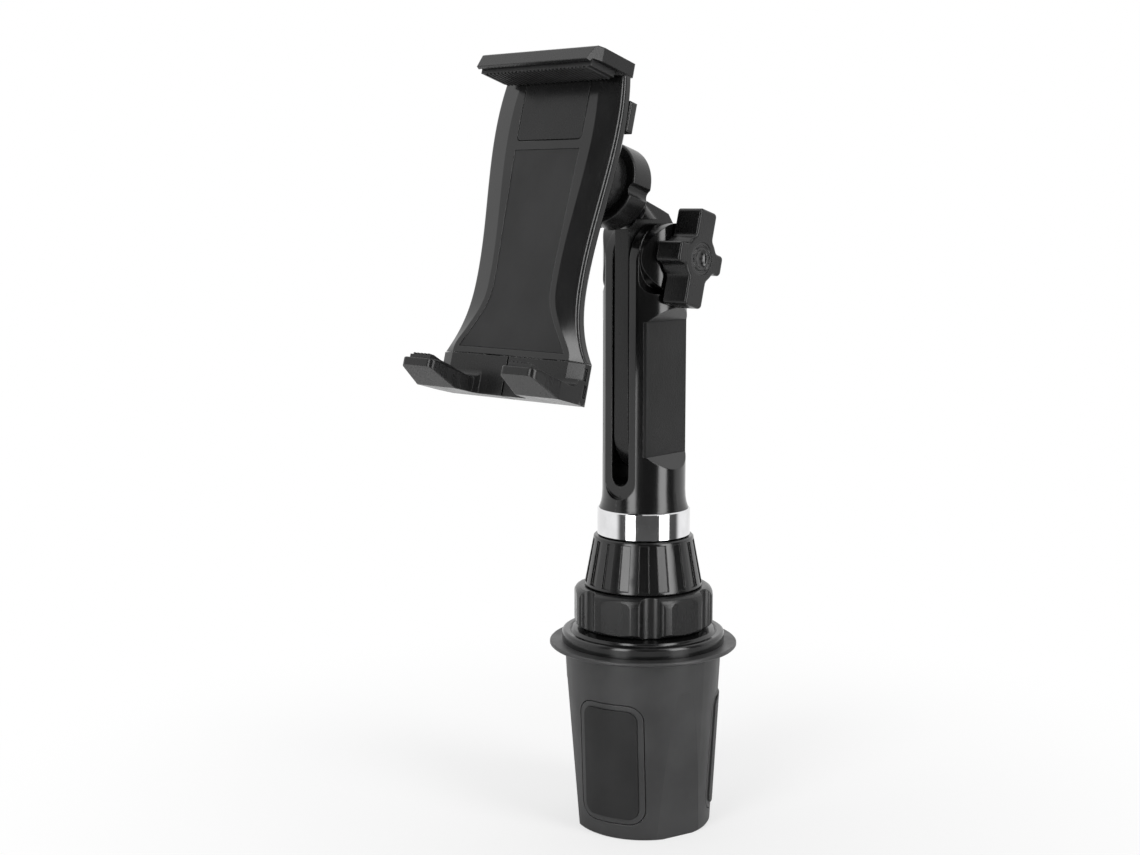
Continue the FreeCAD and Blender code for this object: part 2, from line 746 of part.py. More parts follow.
def column_screws():
    screws = []
    for y in (-COLUMN_SCREW_Y, COLUMN_SCREW_Y):
        z = (NECK_TOP + CAP_T + SLOT_LOW) / 2 + 0.4
        shank = rod(SCREW_R, (-13, y, z), (10.5, y, z))
        screws.append(one(shank.fuse(rod(SCREW_HEAD_R, (-13 - SCREW_HEAD_T, y, z), (-13, y, z)))))
    return Part.makeCompound(screws)


def side_panel(side):
    x0, x1 = sorted((side * (PANEL_X - PANEL_T), side * PANEL_X))
    plate = box(x0, x1, -COLUMN_R, COLUMN_R, PANEL_LOW + PANEL_LEDGE, PANEL_HIGH - PANEL_LEDGE)
    return one(plate.common(post(COLUMN_R, PANEL_LOW, PANEL_HIGH)))


# ---- pivot: bolt, washers, block, star knob --------------------------------------------------
def pivot_bolt():
    shank = rod(PIVOT_R, (-BOSS_FACE + 1.5, 0, PIVOT_Z), (BOLT_END, 0, PIVOT_Z))
    head = rod(BOLT_HEAD_R, (-BOSS_FACE + 1.5 - BOLT_HEAD_T, 0, PIVOT_Z), (-BOSS_FACE + 1.5, 0, PIVOT_Z))
    head = head.makeChamfer(0.8, edges_where(head, lambda p: p.x < -BOSS_FACE + 1.5 - BOLT_HEAD_T + 0.01))
    return one(head.fuse(shank))


def friction_washers():
    near = ARM_HALF_X + RUN
    discs = []
    for side in (-1, 1):
        ends = (side * near, 0, PIVOT_Z), (side * SLOT_HALF, 0, PIVOT_Z)
        discs.append(one(rod(WASHER_R, *ends).cut(rod(PIVOT_R + RUN, *ends))))
    return Part.makeCompound(discs)


def stadium_x(half_width, low, high, reach):
    """Block with half-round ends, running along X, centred on the arm."""
    body = box(-reach, reach, -half_width, half_width, low + half_width, high - half_width)
    for z in (low + half_width, high - half_width):
        body = body.fuse(rod(half_width, (-reach, 0, z), (reach, 0, z)))
    return body


def slide_block():
    """Block on the bolt that the arm's long slot slides along."""
    low, high = PIVOT_Z - BLOCK_H / 2, PIVOT_Z + BLOCK_H / 2
    block = stadium_x(BLOCK_HALF_Y, low, high, ARM_HALF_X)
    return one(block.cut(rod(PIVOT_R + RUN, (-10, 0, PIVOT_Z), (10, 0, PIVOT_Z))))


def knob_outline():
    """Star round the pivot's line: flat-ended lobes joined by hollows."""
    back = COLUMN_R + GAP
    star = rod(KNOB_WAIST, (back, 0, 0), (KNOB_FACE, 0, 0))
    for n in range(KNOB_LOBES):
        long_lobe = n % 2 == 0
        tip = KNOB_R if long_lobe else KNOB_SHORT_R
        half = (KNOB_LOBE_W if long_lobe else KNOB_SHORT_W) / 2
        lobe = slab(
            [
                (-half, 0),
                (half, 0),
                (half, tip),
                (-half, tip),
            ],
            back,
            KNOB_FACE,
            "x",
        )
        star = star.fuse(spun(lobe, -KNOB_LOBE_AZ + n * 360 / KNOB_LOBES, (1, 0, 0)))
    return star.removeSplitter()


def star_knob():
    star = knob_outline()

    def runs_along_x(e):
        span = e.Vertexes[0].Point - e.Vertexes[-1].Point
        return math.hypot(span.y, span.z) < 0.01 and abs(span.x) > 5

    def radius_at(e):
        return math.hypot(e.Vertexes[0].Y, e.Vertexes[0].Z)

    along = [e for e in star.Edges if len(e.Vertexes) == 2 and runs_along_x(e)]
    inner = star.makeFillet(KNOB_HOLLOW, [e for e in along if radius_at(e) < KNOB_WAIST + 1.0])
    along = [e for e in inner.Edges if len(e.Vertexes) == 2 and runs_along_x(e)]
    outer = inner.makeFillet(KNOB_CORNER, [e for e in along if radius_at(e) > KNOB_SHORT_R - 0.5])
    face = edges_where(outer, lambda p: abs(p.x - KNOB_FACE) < 1e-6)
    rim = outer.makeFillet(KNOB_EDGE, face)
    back = BOSS_FACE + GAP
    shape = rim.fuse(rod(KNOB_HUB_R, (back, 0, 0), (COLUMN_R + GAP, 0, 0)))
    shape.translate(V(0, 0, PIVOT_Z))
    shape = shape.cut(rod(PIVOT_R + 0.3, (back - 1, 0, PIVOT_Z), (back + 1, 0, PIVOT_Z)))
    shape = shape.cut(rod(NUT_R, (back + 0.6, 0, PIVOT_Z), (back + 0.6 + NUT_T, 0, PIVOT_Z)))
    shape = shape.cut(rod(PIVOT_R + 0.3, (back, 0, PIVOT_Z), (KNOB_FACE - CAP_DISC_T, 0, PIVOT_Z)))
    return one(shape.cut(rod(CAP_DISC_R, (KNOB_FACE - CAP_DISC_T, 0, PIVOT_Z), (KNOB_FACE + 1, 0, PIVOT_Z))))


def knob_insert():
    """Brass nut moulded into the knob."""
    start = BOSS_FACE + GAP + 0.6
    nut = rod(NUT_R, (start, 0, PIVOT_Z), (start + NUT_T, 0, PIVOT_Z))
    return one(nut.cut(rod(PIVOT_R + RUN, (start - 1, 0, PIVOT_Z), (start + NUT_T + 1, 0, PIVOT_Z))))


def knob_cap():
    """Dished cap in the knob's face with two raised rings."""
    low, high = KNOB_FACE - CAP_DISC_T, KNOB_FACE - 0.2
    disc = turned([
        (0, low),
        (CAP_DISC_R, low),
        (CAP_DISC_R, high),
        (CAP_DISC_R - 1.0, high),
        (CAP_DISC_R - 1.4, high - 0.5),
        (CAP_DISC_R - 2.0, high - 0.5),
        (CAP_DISC_R - 2.4, high),
        (CAP_DISC_R - 3.2, high),
        (CAP_DISC_R - 4.0, high - 0.7),
        (CAP_DISC_R - 5.2, high - 1.2),
        (0, high - 1.5),
    ])
    shape = spun(disc, 90, (0, 1, 0))
    shape.translate(V(0, 0, PIVOT_Z))
    return one(shape)


# ---- arm and ball ----------------------------------------------------------------------------
STUD_WAY = V(0, math.cos(math.radians(NECK_DROP)), -math.sin(math.radians(NECK_DROP)))


def along_stud(distance):
    return BALL + STUD_WAY * distance


def arm_bar():
    low = ARM_LOW + ARM_HALF_Y
    bar = box(-ARM_HALF_X, ARM_HALF_X, -ARM_HALF_Y, ARM_HALF_Y, low, PIVOT_Z)
    bar = bar.fuse(rod(ARM_HALF_Y, (-ARM_HALF_X, 0, low), (ARM_HALF_X, 0, low)))
    head = slab(
        [
            (-ARM_HALF_Y, PIVOT_Z),
            (ARM_HALF_Y, PIVOT_Z),
            (ARM_HALF_Y, PIVOT_Z + 8),
            (ARM_HALF_Y - 1.6, ARM_HEAD_TOP - 6.0),
            (ARM_HALF_Y - 5.0, ARM_HEAD_TOP - 1.6),
            (ARM_HALF_Y - 9.0, ARM_HEAD_TOP),
            (-4.0, ARM_HEAD_TOP + 4.4),
            (-ARM_HALF_Y, ARM_HEAD_TOP + 4.4),
        ],
        -ARM_HALF_X,
        ARM_HALF_X,
        "x",
    )
    start, end = along_stud(DISH_R - 4), along_stud(DISH_R + STUD_SPIGOT_L + 4)
    boss = rod(HEAD_BOSS_R, start, end).common(box(-20, 20, -40, 12, PIVOT_Z + FLAT_Y + GAP, 400))
    bar = bar.fuse(head).fuse(boss)
    bar = bar.cut(Part.makeSphere(DISH_R, BALL))
    bar = bar.cut(rod(STUD_SPIGOT_R, along_stud(DISH_R - 5), along_stud(DISH_R + STUD_SPIGOT_L)))
    slot_low = PIVOT_Z - ARM_TRAVEL - BLOCK_H / 2 - RUN
    slot_high = PIVOT_Z + BLOCK_H / 2 + RUN
    bar = bar.cut(stadium_x(BLOCK_HALF_Y + RUN, slot_low, slot_high, ARM_HALF_X + 5))
    return one(bar)


def ball_stud():
    ball = Part.makeSphere(BALL_R, BALL)
    neck = rod(STUD_R, BALL, along_stud(DISH_R - 0.05))
    neck = neck.common(Part.makeSphere(DISH_R - 0.02, BALL))
    spigot = rod(STUD_SPIGOT_R, BALL, along_stud(DISH_R + STUD_SPIGOT_L))
    return one(ball.fuse(neck).fuse(spigot))


# ---- socket, liner, ring nut (built in the holder's frame) -----------------------------------
CENTRE = V(0, BALL_DEPTH, BALL_UP)
SEAT_R = BALL_R + RUN + LINER_T


def on_axis(depth):
    """Point on the socket's axis, at a depth behind the holder's face."""
    return (0, depth, BALL_UP)


def mouth_cone(length):
    """Cone that opens backwards from the ball's centre."""
    wide = length * math.tan(math.radians(SOCKET_OPEN))
    return Part.makeCone(0, wide, length, CENTRE, V(0, 1, 0))


def socket_liner():
    shell = Part.makeSphere(SEAT_R, CENTRE).cut(Part.makeSphere(BALL_R + RUN, CENTRE))
    shell = shell.cut(mouth_cone(30))
    return one(shell.cut(rod(4.0, on_axis(BALL_DEPTH - 30), on_axis(BALL_DEPTH))))


def socket_cup():
    hub_low = HOUSING_D + GAP
    seam = BALL_DEPTH + 1.0
    hub = rod(SOCKET_R, on_axis(hub_low), on_axis(seam))
    spindle = rod(SPINDLE_R, on_axis(HOUSING_D - HOUSING_WALL - GAP - 0.1), on_axis(hub_low))
    flange_end = HOUSING_D - HOUSING_WALL - GAP
    flange = rod(SPINDLE_FLANGE_R, on_axis(flange_end - SPINDLE_FLANGE_T), on_axis(flange_end))
    cup = hub.fuse(spindle).fuse(flange)
    return one(cup.cut(Part.makeSphere(SEAT_R + RUN, CENTRE)))


def ring_nut():
    low, high = BALL_DEPTH - RING_NUT_FRONT, BALL_DEPTH + RING_NUT_BACK
    seam = BALL_DEPTH + 1.0 + GAP
    ring = rod(RING_NUT_R, on_axis(low), on_axis(high))
    rims = edges_where(ring, lambda p: abs(p.y - low) < 0.01 or abs(p.y - high) < 0.01)
    ring = ring.makeFillet(1.2, rims)
    ring = ring.cut(rod(SOCKET_R + RUN, on_axis(low - 1), on_axis(seam)))
    ring = ring.cut(Part.makeSphere(SEAT_R + RUN, CENTRE)).cut(mouth_cone(30))
    notch_z = BALL_UP + RING_NUT_R + 1.4
    notch = rod(RING_NUT_NOTCH_R, (0, low - 1, notch_z), (0, high + 1, notch_z))
    for n in range(RING_NUT_LOBES):
        ring = ring.cut(spun(notch, n * 360 / RING_NUT_LOBES + 10, (0, 1, 0), CENTRE))
    return one(ring)


# ---- holder ----------------------------------------------------------------------------------
def half_width(z):
    """Half the body's width at a height: a flared foot, a waist and a slow widening up."""
    if z >= BODY_WAIST_AT:
        rise = (z - BODY_WAIST_AT) / (BODY_H - BODY_WAIST_AT)
        return BODY_WAIST_HALF + (BODY_TOP_HALF - BODY_WAIST_HALF) * rise
    fall = 1 - z / BODY_WAIST_AT
    return BODY_WAIST_HALF + (BODY_FOOT_HALF - BODY_WAIST_HALF) * fall ** 2.6


def outline_points(half, low, high, steps=9):
    """Right-hand outline from low to high, closed by its mirror image."""
    heights = [low + (min(high, BODY_WAIST_AT) - low) * n / steps for n in range(steps)]
    heights = [h for h in heights if h < BODY_WAIST_AT] + [BODY_WAIST_AT, high]
    heights = sorted(set(round(h, 6) for h in heights if low <= h <= high))
    right = [(half(h), h) for h in heights]
    return right, [(-x, h) for x, h in reversed(right)]


def body_wire(half, low, high, y):
    """Closed outline across the body at one depth, for a given half width at each height."""
    right, left = outline_points(half, low, high)
    return outline_face(right, left, y).OuterWire


def body_layer(y0, half0, y1, half1, low=0.0, high=None):
    """Slice of the body between two depths, each with its own outline."""
    high = BODY_H if high is None else high
    wires = [body_wire(half0, low, high, y0), body_wire(half1, low, high, y1)]
    return Part.makeLoft(wires, True, True)


def inset_body(inset):
    """Half width of the body's outline, moved in by an inset."""
    return lambda z: half_width(z) - inset


def flat_half(z):
    """Half the width of the face's flat middle."""
    return inset_half(min(max(z, INSET_LOW), INSET_HIGH)) + FLAT_MARGIN


def back_inset(y):
    """How far the tapered back stands in at a depth behind the face."""
    return BACK_INSET * (y - EDGE_BACK) / (SHELL_D + COVER_T - EDGE_BACK)


def outline_face(right, left, y):
    sides = []
    for side in (right, left):
        curve = Part.BSplineCurve()
        curve.interpolate([V(x, y, z) for x, z in side])
        sides.append(curve.toShape())
    top = Part.makeLine(V(right[-1][0], y, right[-1][1]), V(left[0][0], y, left[0][1]))
    bottom = Part.makeLine(V(left[-1][0], y, left[-1][1]), V(right[0][0], y, right[0][1]))
    return Part.Face(Part.Wire([sides[0], top, sides[1], bottom]))


def inset_half(z):
    """Half the width of the matte pad: it follows the body's sides, narrower at the top."""
    margin_low = BODY_FOOT_HALF - INSET_FOOT_HALF
    margin_high = half_width(INSET_HIGH) - INSET_TOP_HALF
    share = min(1.0, (z - INSET_LOW) / INSET_FLARE)
    margin = margin_low + (margin_high - margin_low) * (share * share * (3 - 2 * share))
    return half_width(z) - margin


def inset_block(y0, y1, shrink=0.0):
    low, high = INSET_LOW + shrink, INSET_HIGH - shrink
    steps = 14
    heights = [low + (high - low) * n / steps for n in range(steps + 1)]
    right = [(inset_half(h) - shrink, h) for h in heights]
    left = [(-x, h) for x, h in reversed(right)]
    return outline_face(right, left, y0).extrude(V(0, y1 - y0, 0))


def shell_outside():
    """Flat middle, margins that slope back, a narrow side wall and a tapered back."""
    full = inset_body(0)
    margins = body_layer(0, flat_half, MARGIN_DROP, full)
    wall = body_layer(MARGIN_DROP, full, EDGE_BACK, full)
    back = body_layer(EDGE_BACK, full, SHELL_D, inset_body(back_inset(SHELL_D)))
    solid = margins.fuse(wall).fuse(back).removeSplitter()
    soft = edges_where(solid, lambda p: abs(p.y - MARGIN_DROP) < 0.01 and abs(p.x) > BODY_WAIST_HALF - 1)
    return solid.makeFillet(MARGIN_ROUND, soft)


def shell_cavity():
    low, high = SHELL_WALL, BODY_H - SHELL_WALL
    behind = MARGIN_DROP + SHELL_WALL
    full = inset_body(SHELL_WALL)
    front_part = body_layer(SHELL_WALL, flat_half, behind, full, low, high)
    middle = body_layer(behind, full, EDGE_BACK, full, low, high)
    end = SHELL_D + 1
    back = body_layer(EDGE_BACK, full, end, inset_body(SHELL_WALL + back_inset(end)), low, high)
    return front_part.fuse(middle).fuse(back)


def holder_front_shell():
    shell = shell_outside().cut(shell_cavity())
    shell = shell.cut(inset_block(-1, INSET_T))
    window = rounded_bar(WINDOW_HALF, WINDOW_FLOOR, BODY_H + 10, -1, SHELL_WALL + 1, 2.4)
    shell = shell.cut(window)
    top_gap = box(-WINDOW_HALF, WINDOW_HALF, -1, SHELL_D + 1, BODY_H - SHELL_WALL - 1, BODY_H + 1)
    shell = shell.cut(top_gap)
    for side in (-1, 1):
        x0, x1 = sorted((side * (TONGUE_HALF + RUN * 2), side * (TONGUE_HALF + 2.2)))
        rail = box(x0, x1, SHELL_WALL - 0.1, SHELL_WALL + TONGUE_T + GAP, 20.0, WINDOW_FLOOR - 1)
        shell = shell.fuse(rail)
        for x, z in holder_screw_places():
            if x * side > 0:
                shell = shell.fuse(rod(3.0, (x, SHELL_WALL - 0.1, z), (x, SHELL_D, z)))
                shell = shell.cut(rod(SCREW_R - 0.1, (x, SHELL_WALL + 1, z), (x, SHELL_D + 1, z)))
    bore = box(20, 60, BUTTON_NEAR, SHELL_D + 1, BUTTON_LOW, BUTTON_HIGH)
    shell = shell.cut(bore)
    for side in (-1, 1):
        shell = shell.cut(leg_way(side))
    return one(shell)


def leg_way(side):
    """Opening in the body's lower wall that a foot's leg slides through."""
    x0, x1 = sorted((side * (LEG_IN - GAP), side * (LEG_OUT + GAP)))
    y0 = leg_depth() - GAP
    return box(x0, x1, y0, y0 + LEG_T + 2 * GAP, -1, SHELL_WALL + 1)


def leg_depth():
    return SHELL_D - 1.0 - LEG_T


def holder_screw_places():
    return [(-26.5, 12.0), (26.5, 12.0), (-24.5, 92.0), (24.5, 92.0)]


def holder_back_cover():
    low, high = SHELL_D, SHELL_D + COVER_T
    near, far = [inset_body(COVER_INSET + back_inset(y)) for y in (low, high)]
    cover = body_layer(low, near, high, far, COVER_INSET, BODY_H - COVER_INSET)
    housing = rounded_bar(HOUSING_HALF, HOUSING_LOW, HOUSING_HIGH, low, HOUSING_D, 6.0)
    back_edges = edges_where(housing, lambda p: abs(p.y - HOUSING_D) < 1e-6)
    housing = housing.makeFillet(2.0, back_edges)
    cover = cover.fuse(housing)
    hollow = rounded_bar(
        HOUSING_HALF - HOUSING_WALL,
        HOUSING_LOW + HOUSING_WALL,
        HOUSING_HIGH - HOUSING_WALL,
        low - 1,
        HOUSING_D - HOUSING_WALL,
        4.0,
    )
    cover = cover.cut(hollow)
    cover = cover.cut(rod(SPINDLE_R + RUN, on_axis(low), on_axis(HOUSING_D + 1)))
    for x, z in holder_screw_places():
        cover = cover.cut(rod(SCREW_R, (x, low - 1, z), (x, high + 1, z)))
        cover = cover.cut(rod(SCREW_HEAD_R, (x, high - 0.9, z), (x, high + 1, z)))
    button_slot = box(24.5, 60, low - 1, high + 1, BUTTON_LOW, BUTTON_HIGH)
    cover = cover.cut(button_slot)
    press_low = SHELL_WALL + TONGUE_T + 2 * GAP
    for z in GUIDE_AT:
        for x in (-GUIDE_X, GUIDE_X):
            cover = cover.fuse(box(x - 1.5, x + 1.5, press_low, low + 0.5, z, z + 3))
    return one(cover)


def spindle_washer():
    """Washer and screw that keep the socket's spindle in the housing."""
    face = HOUSING_D - HOUSING_WALL - GAP - SPINDLE_FLANGE_T
    return one(rod(SPINDLE_R, on_axis(face - 1.0), on_axis(face)))


def holder_screws():
    screws = []
    back = SHELL_D + COVER_T
    for x, z in holder_screw_places():
        shank = rod(SCREW_R - 0.1, (x, SHELL_WALL + 1.5, z), (x, back - 0.9, z))
        head = rod(SCREW_HEAD_R, (x, back - 0.9, z), (x, back + 0.3, z))
        screws.append(one(head.fuse(shank)))
    return Part.makeCompound(screws)


def front_pad():
    return one(inset_block(0.15, INSET_T, SEAM / 4))


# ---- sliding top jaw -------------------------------------------------------------------------
def top_jaw():
    panel = rounded_bar(WINDOW_HALF - SEAM, WINDOW_FLOOR + SEAM, JAW_LOW + 2, 0, SHELL_WALL + 0.15, 2.0)
    half = WINDOW_HALF - SEAM
    panel = panel.fuse(box(-half, half, 0, SHELL_WALL + 0.15, BODY_H - 5, JAW_LOW + 1))
    tongue_y = SHELL_WALL + 0.15
    tongue = box(-TONGUE_HALF, TONGUE_HALF, tongue_y, tongue_y + TONGUE_T, TONGUE_LOW, JAW_LOW + 1)
    low, high = JAW_LOW, JAW_TOP
    side = [
        (JAW_BACK, low),
        (JAW_BACK, high),
        (-JAW_FRONT_TOP, high),
        (-JAW_FRONT_TOP - 1.0, high - 0.6),
        (-JAW_FRONT, low - 0.9),
        (-JAW_FRONT + 2.2, low - 1.4),
        (-JAW_FRONT + 3.4, low),
    ]
    plate = slab(side, -JAW_HALF, JAW_HALF, "x")
    corner = [
        (JAW_HALF + 1, -JAW_FRONT_TOP + 6.0),
        (JAW_HALF + 1, -JAW_FRONT - 1),
        (JAW_HALF - 3.0, -JAW_FRONT - 1),
    ]
    for way in (1, -1):
        plate = plate.cut(slab([(way * x, y) for x, y in corner], low - 5, high + 5, "z"))
    ends = edges_where(plate, lambda p: abs(abs(p.x) - JAW_HALF) < 0.01 and p.z > low - 0.01 and p.y > 0)
    plate = plate.makeFillet(1.2, ends)
    jaw = panel.fuse(tongue).fuse(plate)
    for x in (-13.0, 13.0):
        bump = rod(2.4, (x, -9.0, high - 0.2), (x, -9.0, high + 0.9))
        bump = bump.makeFillet(0.6, edges_where(bump, lambda p: p.z > high + 0.89))
        jaw = jaw.fuse(bump)
    tooth = [
        (TONGUE_HALF - TOOTH_H, 0.0),
        (TONGUE_HALF + 0.01, TOOTH_H * 0.6),
        (TONGUE_HALF + 0.01, -TOOTH_H * 0.6),
    ]
    teeth = int((JAW_LOW - 26.0 - TONGUE_LOW) / TOOTH_PITCH)
    for n in range(teeth):
        z = TONGUE_LOW + 4 + n * TOOTH_PITCH
        notch = slab([(x, z + dz) for x, dz in tooth], tongue_y - 1, tongue_y + TONGUE_T + 1, "y")
        jaw = jaw.cut(notch)
    return one(jaw)


def top_jaw_pad():
    """Ridged rubber under the jaw."""
    top = JAW_LOW
    y0, y1 = -JAW_FRONT + 3.6, -0.9
    pad = box(-JAW_PAD_HALF, JAW_PAD_HALF, y0, y1, top - JAW_PAD_T + RIDGE_H, top)
    count = int(2 * (JAW_PAD_HALF - 1) / RIDGE_PITCH)
    start = -(count - 1) / 2 * RIDGE_PITCH
    for n in range(count):
        x = start + n * RIDGE_PITCH
        rib = slab(
            [
                (x - RIDGE_PITCH * 0.32, top - JAW_PAD_T + RIDGE_H + 0.1),
                (x - RIDGE_PITCH * 0.16, top - JAW_PAD_T),
                (x + RIDGE_PITCH * 0.16, top - JAW_PAD_T),
                (x + RIDGE_PITCH * 0.32, top - JAW_PAD_T + RIDGE_H + 0.1),
            ],
            y0,
            y1,
            "y",
        )
        pad = pad.fuse(rib)
    return one(pad)


# ---- release button --------------------------------------------------------------------------
def button_wall():
    return half_width((BUTTON_LOW + BUTTON_HIGH) / 2)


def release_button():
    wall = button_wall()
    low, high = BUTTON_LOW + GAP, BUTTON_HIGH - GAP
    near, far = BUTTON_NEAR + GAP, BUTTON_FAR - GAP
    cap = box(wall - BUTTON_IN, wall + BUTTON_PROUD, near, far, low, high)
    outer = edges_where(cap, lambda p: abs(p.x - wall - BUTTON_PROUD) < 1e-6)
    cap = cap.makeFillet(0.8, outer)
    stem = box(TONGUE_HALF + 4.4, wall - BUTTON_IN + 1, near + 0.4, near + 2.4, low + 4, low + 7)
    return one(cap.fuse(stem))


def spring_coil(radius, wire, pitch, length):
    """Closed coil spring along Z from the origin."""
    helix = Part.makeHelix(pitch, length - 2 * wire, radius)
    ring = Part.Wire(Part.makeCircle(wire, V(radius, 0, 0), V(0, 1, 0)))
    coil = Part.Wire(helix.Edges).makePipeShell([ring], True, True)
    coil.translate(V(0, 0, wire))
    return coil


def button_spring():
    wall = button_wall()
    length = 3.6
    coil = spring_coil(1.3, SPRING_WIRE, 1.3, length)
    coil = spun(coil, 90, (0, 1, 0))
    start = wall - BUTTON_IN - length
    coil.translate(V(start, (BUTTON_NEAR + SHELL_D) / 2, BUTTON_HIGH - 4.5))
    return coil


# ---- feet ------------------------------------------------------------------------------------
def channel_floor():
    """Top line of the hook, from the lip back to where the channel meets the face."""
    lip_in = -HOOK_REACH + LIP_T
    ahead = -CHANNEL_CORNER
    points = [
        V(0, lip_in, LIP_TOP),
        V(0, lip_in + 5.0, LIP_TOP - 0.9),
        V(0, -9.0, CHANNEL_LOW + 1.0),
        V(0, ahead, CHANNEL_LOW),
    ]
    spline = Part.BSplineCurve()
    spline.interpolate(points, InitialTangent=V(0, 1, 0), FinalTangent=V(0, 1, 0))
    half_turn = math.radians(45)
    middle = V(
        0,
        ahead + CHANNEL_CORNER * math.sin(half_turn),
        CHANNEL_LOW + CHANNEL_CORNER * (1 - math.cos(half_turn)),
    )
    corner = Part.Arc(points[-1], middle, V(0, 0, CHANNEL_LOW + CHANNEL_CORNER))
    return spline.toShape(), corner.toShape()


def foot_right():
    low, top = FOOT_LOW, FOOT_TOP
    back = FOOT_BACK
    section = [
        (FOOT_SPLIT, 0),
        (flat_half(0), 0),
        (FOOT_HALF, MARGIN_DROP),
        (FOOT_HALF, EDGE_BACK),
        (FOOT_HALF - back_inset(back), back),
        (FOOT_SPLIT, back),
    ]
    plate = slab(section, low, top)
    corner = edges_where(plate, lambda p: p.x > flat_half(0) + 1 and abs(p.z - low) < 1e-6)
    plate = plate.makeFillet(FOOT_CORNER, corner)
    start = V(0, -HOOK_REACH + LIP_T, LIP_TOP)
    joint = V(0, 0, CHANNEL_LOW + CHANNEL_CORNER)
    outline = [
        joint,
        V(0, back, joint.z),
        V(0, back, low),
        V(0, -HOOK_KEEL, low),
        V(0, -HOOK_REACH, LIP_TOP - LIP_H),
        V(0, -HOOK_REACH, LIP_TOP),
        start,
    ]
    wires = [Part.makeLine(a, b) for a, b in zip(outline, outline[1:])]
    wires.extend(channel_floor())
    hook = Part.Face(Part.Wire(Part.__sortEdges__(wires))).extrude(V(FOOT_HALF + 5, 0, 0))
    plan = slab(
        [
            (FOOT_SPLIT, back),
            (FOOT_SPLIT, 0),
            (HOOK_ROOT_IN - 2.5, 0),
            (HOOK_ROOT_IN - 0.6, -2.0),
            (HOOK_ROOT_IN, -5.0),
            (HOOK_ROOT_IN + 1.2, -HOOK_KEEL),
            (HOOK_LIP_IN, -HOOK_REACH),
            (HOOK_LIP_OUT, -HOOK_REACH),
            (FOOT_HALF, -HOOK_KEEL),
            (FOOT_HALF, MARGIN_DROP),
            (FOOT_HALF - back_inset(back), back),
        ],
        low,
        top,
        "z",
    )
    upright = [e for e in plan.Edges if e.BoundBox.YMax < 0.01 - HOOK_REACH and e.BoundBox.ZLength > 1]
    hook = hook.common(plan.makeFillet(LIP_CORNER, upright))
    lip_corners = edges_where(hook, lambda p: p.y < -HOOK_REACH + 0.01 and p.z > LIP_TOP - 0.01)
    hook = hook.makeFillet(0.8, lip_corners)
    foot = plate.fuse(hook)
    leg_y = leg_depth()
    leg = box(LEG_IN, LEG_OUT, leg_y, leg_y + LEG_T, top - 2, LEG_TOP)
    foot = foot.fuse(leg)
    for y0, z0, z1 in ((3.0, -7.6, -2.2), (4.0, low + 3.0, low + 8.6)):
        foot = foot.cut(box(FOOT_HALF - 0.7, FOOT_HALF + 1, y0, y0 + 2.0, z0, z1))
    return one(foot.cut(foot_pad_right()))


def foot_pad_right():
    """Ridged rubber strip up the inside of the hook and over its lip."""
    lip_in = -HOOK_REACH + LIP_T
    depth = FOOT_PAD_T
    x0, x1 = HOOK_LIP_IN + 2.6, HOOK_LIP_OUT - 2.6
    low_y, high_y = lip_in - 1.6, -4.0
    upper = [
        (low_y, LIP_TOP + 1.6),
        (low_y + 3.0, LIP_TOP + 1.5),
        (lip_in + 6.0, LIP_TOP + 0.2),
        (-9.0, CHANNEL_LOW + 2.4),
        (high_y, CHANNEL_LOW + 1.0),
    ]
    lower = [(y, z - depth - 1.2) for y, z in reversed(upper)]
    strip = slab(upper + lower, x0, x1, "x")
    count = int((x1 - x0 - 1) / RIDGE_PITCH)
    for n in range(count):
        x = x0 + 0.5 + (n + 0.5) * RIDGE_PITCH
        raised = [(y, z + RIDGE_H) for y, z in upper]
        ridge = slab(raised + [(y, z - 0.2) for y, z in reversed(upper)], x - 0.5, x + 0.5, "x")
        strip = strip.fuse(ridge)
    return one(strip)


# ---- write every piece -----------------------------------------------------------------------
def all_pieces():
    pieces = {
        "cup_body": cup_body(),
        "base_plate": base_plate(),
        "base_screws": base_screws(),
        "neck_tube": neck_tube(),
        "neck_cap": neck_cap(),
        "base_lid": base_lid(),
        "drive_sleeve": drive_sleeve(),
        "dial_knob": dial_knob(),
        "wedge_ring": wedge_ring(),
        "lock_collar": lock_collar(),
        "collet_sleeve": collet_sleeve(),
        "chrome_ring": chrome_ring(),
        "column_left": column_half(-1),
        "column_right": column_half(1),
        "column_screws": column_screws(),
        "side_panel_left": side_panel(-1),
        "side_panel_right": side_panel(1),
        "pivot_bolt": pivot_bolt(),
        "friction_washers": friction_washers(),
        "slide_block": slide_block(),
        "star_knob": star_knob(),
        "knob_insert": knob_insert(),
        "knob_cap": knob_cap(),
        "arm_bar": arm_bar(),
        "ball_stud": ball_stud(),
    }
    for n in range(PAD_COUNT):
        azimuth = PAD_AZ + n * 360 / PAD_COUNT
        pieces["pad_jaw_%d" % (n + 1)] = faced(pad_jaw_shape(), azimuth)
        pieces["pad_rubber_%d" % (n + 1)] = faced(rubber_shape(), azimuth)
    holder = {
        "socket_liner": socket_liner(),
        "socket_cup": socket_cup(),
        "spindle_washer": spindle_washer(),
        "ring_nut": ring_nut(),
        "holder_front_shell": holder_front_shell(),
        "holder_back_cover": holder_back_cover(),
        "holder_screws": holder_screws(),
        "front_pad": front_pad(),
        "top_jaw": top_jaw(),
        "top_jaw_pad": top_jaw_pad(),
        "release_button": release_button(),
        "button_spring": button_spring(),
        "foot_right": foot_right(),
        "foot_left": mirrored(foot_right()),
        "foot_pad_right": foot_pad_right(),
        "foot_pad_left": mirrored(foot_pad_right()),
    }
    for name, shape in holder.items():
        pieces[name] = in_place(shape)
    return pieces


